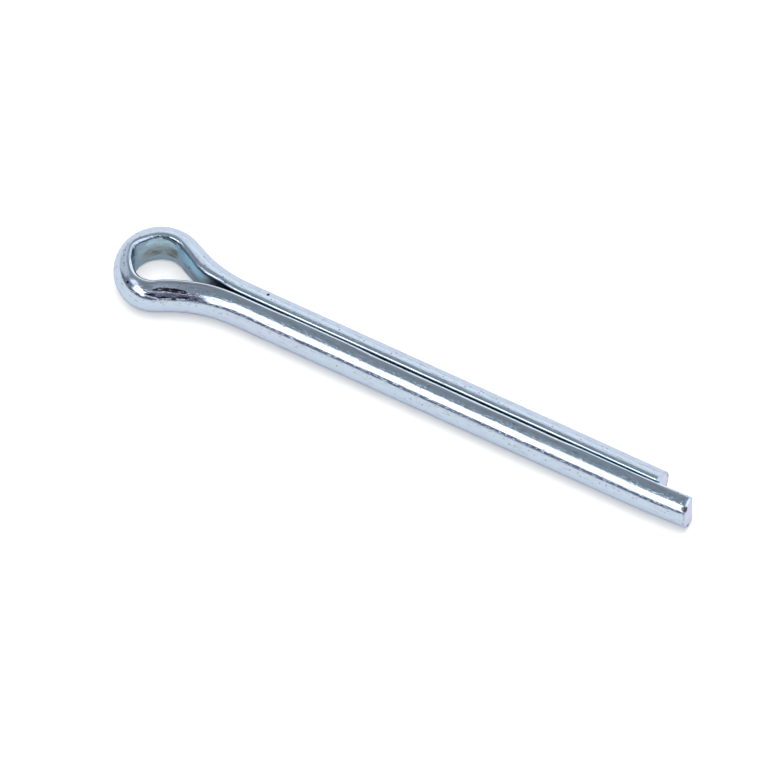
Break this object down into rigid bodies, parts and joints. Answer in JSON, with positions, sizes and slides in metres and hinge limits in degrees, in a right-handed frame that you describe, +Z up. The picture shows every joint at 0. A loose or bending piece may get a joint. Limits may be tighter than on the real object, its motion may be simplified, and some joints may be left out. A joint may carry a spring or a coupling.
{
  "type": "cotter pin",
  "caption": "Split pin of folded half-round steel wire: open round eye, pinched neck, closed straight legs of unequal length with cut ends, bright zinc finish.",
  "frame": {"origin": "middle of the base of the pin's bounding box, where the pin lies on its side", "axes": "+X along the shank from the eye towards the cut ends; +Y towards the short leg, across the flats; +Z up, along the hole through the eye"},
  "size_m": [0.0628, 0.0092, 0.0044],
  "materials": {
    "zinc_plated_steel": "bright zinc electroplate with a clear blue passivate over drawn low-carbon steel wire: mirror-like, faintly rippled"
  },
  "bodies": {
    "root": {"cotter_pin": "zinc_plated_steel"}
  },
  "joints": []
}
